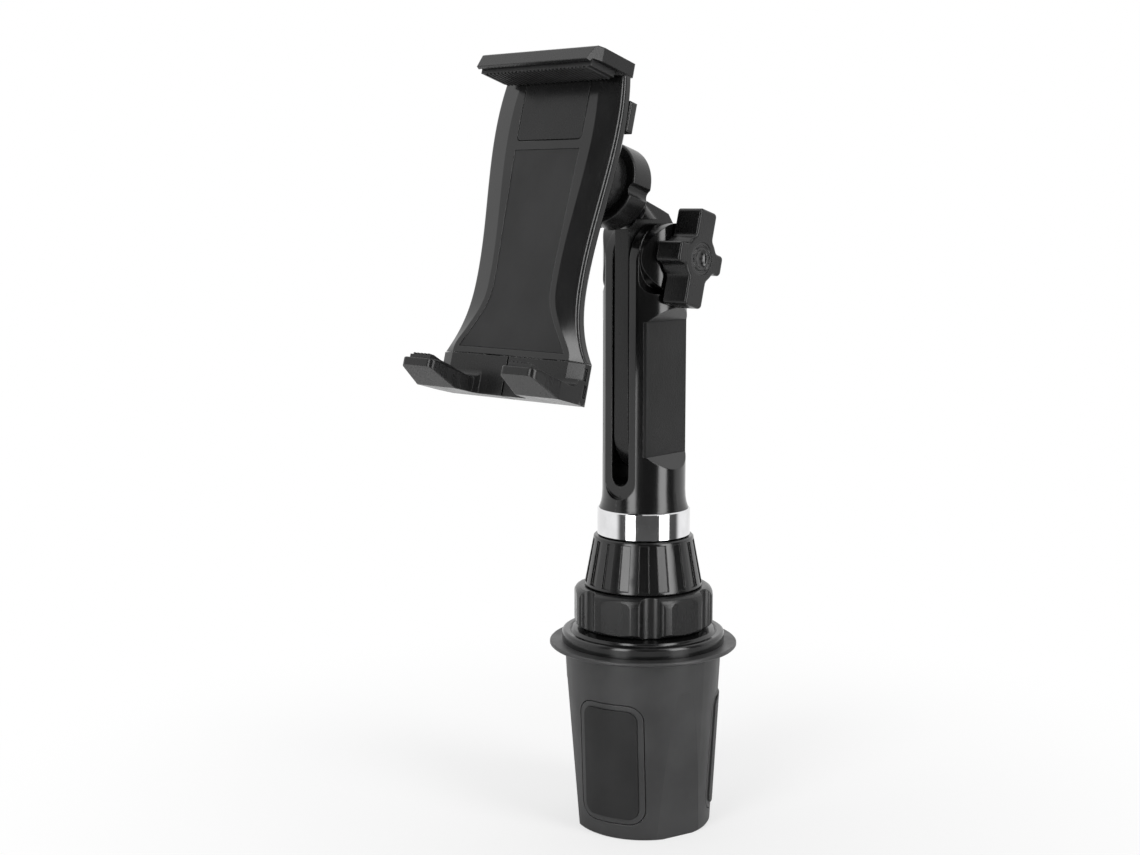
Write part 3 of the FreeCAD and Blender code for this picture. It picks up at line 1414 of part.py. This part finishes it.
os.makedirs("parts", exist_ok=True)
for name, shape in all_pieces().items():
    shape.exportStep("parts/%s.step" % name)
    print(name, len(shape.Solids), round(shape.Volume, 1), shape.isValid())
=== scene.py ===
import json
import math

import bpy
from mathutils import Matrix, Vector


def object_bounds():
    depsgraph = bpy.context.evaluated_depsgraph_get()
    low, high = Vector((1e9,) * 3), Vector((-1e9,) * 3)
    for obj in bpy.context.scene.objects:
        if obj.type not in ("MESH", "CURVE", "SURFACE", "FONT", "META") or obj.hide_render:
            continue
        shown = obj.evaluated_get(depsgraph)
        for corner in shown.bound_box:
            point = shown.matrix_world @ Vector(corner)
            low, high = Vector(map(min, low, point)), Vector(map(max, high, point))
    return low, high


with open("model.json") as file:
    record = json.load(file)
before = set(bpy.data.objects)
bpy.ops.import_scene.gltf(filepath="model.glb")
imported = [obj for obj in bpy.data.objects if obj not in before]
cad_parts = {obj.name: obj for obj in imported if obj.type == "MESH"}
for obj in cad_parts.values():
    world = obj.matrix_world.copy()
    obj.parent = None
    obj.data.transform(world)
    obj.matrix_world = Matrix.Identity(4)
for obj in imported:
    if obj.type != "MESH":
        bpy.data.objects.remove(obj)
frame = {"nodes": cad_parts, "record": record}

# Looks of a cup-holder mount for a phone or tablet. Everything is in metres, in the frame
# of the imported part: +Z up the column, -Y towards the held device, +X towards the knob.
MM = 0.001
cad_low, cad_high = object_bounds()

# ---- camera --------------------------------------------------------------------------------
CAMERA_AZ = 42.0            # from the front towards +X
CAMERA_UP = 7.7             # above level
CAMERA_AWAY = 0.791
CAMERA_LENS = 52.04
AIM_RIGHT = -0.0356         # the aim point, to the right of the column's axis
AIM_HEIGHT = 0.1942


def look_back(azimuth, elevation):
    """Direction from the object towards a viewer, and that viewer's right and up."""
    a, e = math.radians(azimuth), math.radians(elevation)
    back = Vector((math.sin(a) * math.cos(e), -math.cos(a) * math.cos(e), math.sin(e)))
    right = Vector((math.cos(a), math.sin(a), 0))
    return back, right, back.cross(right)


def make_camera():
    back, right, up = look_back(CAMERA_AZ, CAMERA_UP)
    data = bpy.data.cameras.new("camera")
    data.lens = CAMERA_LENS
    data.sensor_width = 36
    data.clip_start, data.clip_end = 0.01, 100
    camera = bpy.data.objects.new("camera", data)
    bpy.context.scene.collection.objects.link(camera)
    place = right * AIM_RIGHT + Vector((0, 0, AIM_HEIGHT)) + back * CAMERA_AWAY
    turn = Matrix((right, up, back)).transposed().to_4x4()
    camera.matrix_world = Matrix.Translation(place) @ turn
    bpy.context.scene.camera = camera


make_camera()
scene = bpy.context.scene
scene.view_settings.view_transform = "Standard"


# ---- node helpers ----------------------------------------------------------------------------
class Graph:
    """Short calls for building a node tree. Most return the output that is used next."""

    def __init__(self, tree):
        self.tree = tree
        tree.nodes.clear()

    def node(self, kind, **settings):
        made = self.tree.nodes.new(kind)
        for name, value in settings.items():
            setattr(made, name, value)
        return made

    def feed(self, socket, value):
        if isinstance(value, bpy.types.NodeSocket):
            self.tree.links.new(value, socket)
        else:
            socket.default_value = value

    def math(self, operation, a, b=0.0, clamp=False):
        made = self.node("ShaderNodeMath", operation=operation, use_clamp=clamp)
        self.feed(made.inputs[0], a)
        self.feed(made.inputs[1], b)
        return made.outputs[0]

    def ramp(self, value, low, high, to_low=0.0, to_high=1.0, smooth=False):
        kind = "SMOOTHSTEP" if smooth else "LINEAR"
        made = self.node("ShaderNodeMapRange", interpolation_type=kind)
        for socket, number in zip(made.inputs, (value, low, high, to_low, to_high)):
            self.feed(socket, number)
        return made.outputs[0]

    def mix(self, share, a, b):
        made = self.node("ShaderNodeMix", data_type="RGBA")
        self.feed(made.inputs[0], share)
        self.feed(made.inputs[6], a)
        self.feed(made.inputs[7], b)
        return made.outputs[2]

    def scaled(self, vector, scale):
        made = self.node("ShaderNodeMapping")
        self.feed(made.inputs["Vector"], vector)
        made.inputs["Scale"].default_value = scale
        return made.outputs[0]

    def noise(self, vector, size, detail=2.0, roughness=0.5):
        """Noise whose features are about as large as size, in metres."""
        made = self.node("ShaderNodeTexNoise")
        self.feed(made.inputs["Vector"], vector)
        made.inputs["Scale"].default_value = 1 / size
        made.inputs["Detail"].default_value = detail
        made.inputs["Roughness"].default_value = roughness
        return made.outputs["Fac"]

    def cells(self, vector, size):
        """Distance to the middle of the nearest of many scattered cells."""
        made = self.node("ShaderNodeTexVoronoi")
        self.feed(made.inputs["Vector"], vector)
        made.inputs["Scale"].default_value = 1 / size
        return made.outputs["Distance"]


def grey(level):
    return (level, level, level * 1.02, 1)


def edge_mask(g, radius):
    """1 on convex edges and 0 on the flats, and the normal rounded over those edges."""
    bevel = g.node("ShaderNodeBevel", samples=6)
    bevel.inputs["Radius"].default_value = radius
    plain = g.node("ShaderNodeNewGeometry")
    dot = g.node("ShaderNodeVectorMath", operation="DOT_PRODUCT")
    g.feed(dot.inputs[0], bevel.outputs[0])
    g.feed(dot.inputs[1], plain.outputs["Normal"])
    return g.ramp(dot.outputs["Value"], 0.995, 0.90), bevel.outputs[0]


# Sizes of the marks on moulded plastic, and how much paler a rubbed spot, a speck or the painted edge
# highlight is.
CLOUD_SIZE = 22 * MM
FLECK_SIZE = 1.4 * MM
SPECK_SPACING = 3.2 * MM
SPECK_SHARE = 0.10
SMEAR_SIZE = 9 * MM
SCRATCH_SIZE = 0.5 * MM
WORN_SHEEN_GAIN = 2.2
WORN_SHEEN_LIFT = 0.02


def plastic(
    name,
    base,
    roughness,
    grain=0.3 * MM,
    depth=0.01 * MM,
    wear_and_sheen=0.35,
    edge=0.6 * MM,
    specular=0.5,
    blotch=0.25,
):
    """Moulded plastic or rubber: grain, blotches, rubbed edges that are partly a painted edge
    highlight, specks and smears.
    """
    material = bpy.data.materials.new(name)
    material.use_nodes = True
    g = Graph(material.node_tree)
    where = g.node("ShaderNodeTexCoord").outputs["Object"]
    mask, rounded = edge_mask(g, edge)
    dark = tuple(c * (1 - blotch) for c in base[:3]) + (1,)
    light = tuple(c * (1 + blotch) for c in base[:3]) + (1,)
    worn_and_sheen = tuple(min(1.0, c * WORN_SHEEN_GAIN + WORN_SHEEN_LIFT) for c in base[:3]) + (1,)
    cloud = g.noise(where, CLOUD_SIZE, 3.0)
    colour = g.mix(g.ramp(cloud, 0.35, 0.65), dark, light)
    fleck = g.noise(where, FLECK_SIZE, 2.0)
    speck = g.ramp(g.cells(where, SPECK_SPACING), 0.055, 0.02)
    colour = g.mix(g.math("MULTIPLY", speck, SPECK_SHARE), colour, worn_and_sheen)
    # Convex edges are mixed towards the paler colour: partly real rubbing, partly a painted highlight
    # along the edges.
    rub_and_sheen = g.math("MULTIPLY", mask, g.ramp(fleck, 0.45, 0.62))
    rub_and_sheen = g.math("MULTIPLY", rub_and_sheen, wear_and_sheen, clamp=True)
    colour = g.mix(rub_and_sheen, colour, worn_and_sheen)
    smear = g.noise(g.scaled(where, (1, 1, 0.25)), SMEAR_SIZE, 4.0, 0.6)
    scratch = g.noise(g.scaled(where, (1, 1, 0.03)), SCRATCH_SIZE, 1.0)
    shine = g.ramp(smear, 0.3, 0.7, roughness * 0.86, roughness * 1.16)
    shine = g.math("ADD", shine, g.ramp(scratch, 0.62, 0.75, 0.0, 0.05))
    shine = g.math("ADD", shine, g.math("MULTIPLY", rub_and_sheen, 0.15), clamp=True)
    pits = g.noise(where, grain, 2.0, 0.6)
    bump = g.node("ShaderNodeBump")
    bump.inputs["Strength"].default_value = 1.0
    bump.inputs["Distance"].default_value = depth
    g.feed(bump.inputs["Height"], pits)
    g.feed(bump.inputs["Normal"], rounded)
    shader = g.node("ShaderNodeBsdfPrincipled")
    g.feed(shader.inputs["Base Color"], colour)
    g.feed(shader.inputs["Roughness"], shine)
    g.feed(shader.inputs["Normal"], bump.outputs[0])
    shader.inputs["Specular IOR Level"].default_value = specular
    out = g.node("ShaderNodeOutputMaterial")
    g.feed(out.inputs["Surface"], shader.outputs[0])
    return material


def metal(name, colour, roughness, streak=(1, 1, 1), grain=0.4 * MM, depth=0.002 * MM, edge=0.2 * MM):
    """Bare or blackened metal with fine working marks and smudges."""
    material = bpy.data.materials.new(name)
    material.use_nodes = True
    g = Graph(material.node_tree)
    where = g.node("ShaderNodeTexCoord").outputs["Object"]
    mask, rounded = edge_mask(g, edge)
    dark = tuple(c * 0.86 for c in colour[:3]) + (1,)
    cloud = g.noise(where, 12 * MM, 3.0)
    tone = g.mix(g.ramp(cloud, 0.35, 0.65), dark, colour)
    marks = g.noise(g.scaled(where, streak), grain, 3.0)
    smudge = g.noise(where, 5 * MM, 3.0, 0.6)
    shine = g.ramp(smudge, 0.35, 0.7, roughness * 0.8, roughness * 1.35)
    bump = g.node("ShaderNodeBump")
    bump.inputs["Strength"].default_value = 1.0
    bump.inputs["Distance"].default_value = depth
    g.feed(bump.inputs["Height"], marks)
    g.feed(bump.inputs["Normal"], rounded)
    shader = g.node("ShaderNodeBsdfPrincipled")
    # Convex edges are painted paler: partly bare metal rubbed through, partly a painted highlight
    # along the edges.
    g.feed(shader.inputs["Base Color"], g.mix(g.math("MULTIPLY", mask, 0.3), tone, (0.9, 0.9, 0.9, 1)))
    g.feed(shader.inputs["Roughness"], shine)
    g.feed(shader.inputs["Normal"], bump.outputs[0])
    shader.inputs["Metallic"].default_value = 1.0
    out = g.node("ShaderNodeOutputMaterial")
    g.feed(out.inputs["Surface"], shader.outputs[0])
    return material


NYLON_COLOUR = (0.62, 0.6, 0.54, 1)
MATERIALS = {
    "cup_plastic": plastic("cup_plastic", grey(0.021), 0.40, grain=0.45 * MM, depth=0.05 * MM),
    "gloss_plastic": plastic(
        "gloss_plastic",
        grey(0.004),
        0.17,
        grain=1.5 * MM,
        depth=0.004 * MM,
        wear_and_sheen=0.5,
    ),
    "satin_plastic": plastic(
        "satin_plastic",
        grey(0.005),
        0.26,
        grain=0.5 * MM,
        depth=0.015 * MM,
        wear_and_sheen=0.5,
        specular=0.36,
    ),
    "grained_plastic": plastic(
        "grained_plastic",
        grey(0.006),
        0.42,
        grain=0.7 * MM,
        depth=0.14 * MM,
        specular=0.25,
    ),
    "inset_rubber": plastic(
        "inset_rubber",
        grey(0.009),
        0.48,
        grain=0.25 * MM,
        depth=0.008 * MM,
        wear_and_sheen=0.15,
        specular=0.32,
    ),
    "grip_rubber": plastic(
        "grip_rubber",
        grey(0.008),
        0.50,
        grain=0.3 * MM,
        depth=0.02 * MM,
        wear_and_sheen=0.15,
        specular=0.4,
    ),
    "nylon": plastic("nylon", NYLON_COLOUR, 0.45, blotch=0.06),
    "chrome_trim": metal("chrome_trim", (0.82, 0.82, 0.83, 1), 0.07, grain=3 * MM, depth=0.001 * MM),
    "steel": metal("steel", (0.55, 0.55, 0.56, 1), 0.25, streak=(1, 1, 12)),
    "steel_black": metal("steel_black", (0.045, 0.045, 0.05, 1), 0.35),
    "brass_insert": metal("brass_insert", (0.75, 0.55, 0.25, 1), 0.25),
}


def dress_nodes():
    """Each CAD node gets the material of its slot."""
    for part in frame["record"]["subparts"]:
        node = frame["nodes"][part["node"]]
        node.data.materials.clear()
        node.data.materials.append(MATERIALS[part["material_slot"]])


dress_nodes()


# ---- studio: floor and soft light ---------------------------------------------------------------
FLOOR_RADIUS = 0.45
FLOOR_SIDES = 64
FLOOR_PAINT = (0.62, 0.62, 0.62, 1)
SHADOW_START = 0.05         # from here outwards the floor fades to white for the camera
SHADOW_REACH = 0.38         # beyond this the floor is plain white to the camera
WHITE_AT_START = 0.66       # how much of the floor is already white where the fade starts


def make_floor():
    mesh = bpy.data.meshes.new("floor")
    turns = [2 * math.pi * n / FLOOR_SIDES for n in range(FLOOR_SIDES)]
    points = [(FLOOR_RADIUS * math.cos(t), FLOOR_RADIUS * math.sin(t), 0) for t in turns]
    mesh.from_pydata(points, [], [list(range(FLOOR_SIDES))])
    floor = bpy.data.objects.new("floor", mesh)
    scene.collection.objects.link(floor)
    floor.location.z = cad_low.z
    material = bpy.data.materials.new("pale_floor")
    material.use_nodes = True
    g = Graph(material.node_tree)
    where = g.node("ShaderNodeTexCoord").outputs["Object"]
    length = g.node("ShaderNodeVectorMath", operation="LENGTH")
    g.feed(length.inputs[0], where)
    reach = length.outputs["Value"]
    away = g.ramp(reach, SHADOW_START, SHADOW_REACH, WHITE_AT_START, 1.0, smooth=True)
    path = g.node("ShaderNodeLightPath")
    seen = g.math("MULTIPLY", path.outputs["Is Camera Ray"], away)
    paint = g.node("ShaderNodeBsdfDiffuse")
    paint.inputs["Color"].default_value = FLOOR_PAINT
    white = g.node("ShaderNodeEmission")
    white.inputs["Strength"].default_value = 1.0
    both = g.node("ShaderNodeMixShader")
    g.feed(both.inputs[0], seen)
    g.feed(both.inputs[1], paint.outputs[0])
    g.feed(both.inputs[2], white.outputs[0])
    out = g.node("ShaderNodeOutputMaterial")
    g.feed(out.inputs["Surface"], both.outputs[0])
    mesh.materials.append(material)


# Soft boxes and dark cards are bands round the object. Each is a middle azimuth and a half
# width, in degrees from the front towards +X. A soft box also has its brightness.
LEFT_BOX = (7.0, 11.0, 6.5)
RIGHT_BOX = (92.0, 12.0, 6.5)
DARK_CARDS = (53.0, 77.0)
CARD_LEVEL = 0.09           # what the dark cards give, where plain white is 1
BOX_LOW, BOX_HIGH = -38.0, 62.0
BOX_SOFT = 2.5              # blurred edge of a soft box, either way
OVERHEAD_LOW, OVERHEAD_HIGH = 45.0, 75.0
OVERHEAD_LEVEL = 0.75


def make_world():
    world = bpy.data.worlds.new("studio")
    scene.world = world
    world.use_nodes = True
    g = Graph(world.node_tree)
    way = g.node("ShaderNodeTexCoord").outputs["Generated"]
    parts = g.node("ShaderNodeSeparateXYZ")
    g.feed(parts.inputs[0], way)
    x, y, z = parts.outputs[0], parts.outputs[1], parts.outputs[2]
    azimuth = g.math("MULTIPLY", g.math("ARCTAN2", x, g.math("MULTIPLY", y, -1.0)), 180 / math.pi)
    flat = g.math("SQRT", g.math("ADD", g.math("MULTIPLY", x, x), g.math("MULTIPLY", y, y)))
    elevation = g.math("MULTIPLY", g.math("ARCTAN2", z, flat), 180 / math.pi)

    def off(middle):
        """Degrees away from an azimuth, either way round."""
        turned = g.math("WRAP", g.math("SUBTRACT", azimuth, middle), 180.0)
        turned.node.inputs[2].default_value = -180.0
        return g.math("ABSOLUTE", turned)

    def band(middle, half):
        return g.ramp(off(middle), half + BOX_SOFT, half - BOX_SOFT, smooth=True)

    middle, half = DARK_CARDS
    level = g.ramp(off(middle), half - 6, half + 10, CARD_LEVEL, 1.0, smooth=True)
    overhead = g.ramp(elevation, OVERHEAD_LOW, OVERHEAD_HIGH, smooth=True)
    level = g.math("MAXIMUM", level, g.math("MULTIPLY", overhead, OVERHEAD_LEVEL))
    tall = g.math(
        "MULTIPLY",
        g.ramp(elevation, BOX_LOW - 4, BOX_LOW + 4, smooth=True),
        g.ramp(elevation, BOX_HIGH + 6, BOX_HIGH - 6, smooth=True),
    )
    for middle, half, strength in (LEFT_BOX, RIGHT_BOX):
        box = g.math("MULTIPLY", g.math("MULTIPLY", band(middle, half), tall), strength)
        level = g.math("MAXIMUM", level, box)
    path = g.node("ShaderNodeLightPath")
    level = g.math("MAXIMUM", level, path.outputs["Is Camera Ray"])
    seen = g.math("MINIMUM", level, 1.0)
    strength = g.node("ShaderNodeMix", data_type="FLOAT")
    g.feed(strength.inputs[0], path.outputs["Is Camera Ray"])
    g.feed(strength.inputs[2], level)
    g.feed(strength.inputs[3], seen)
    shine = g.node("ShaderNodeBackground")
    shine.inputs["Color"].default_value = (1, 1, 1, 1)
    g.feed(shine.inputs["Strength"], strength.outputs[0])
    out = g.node("ShaderNodeOutputWorld")
    g.feed(out.inputs["Surface"], shine.outputs[0])


make_floor()
make_world()
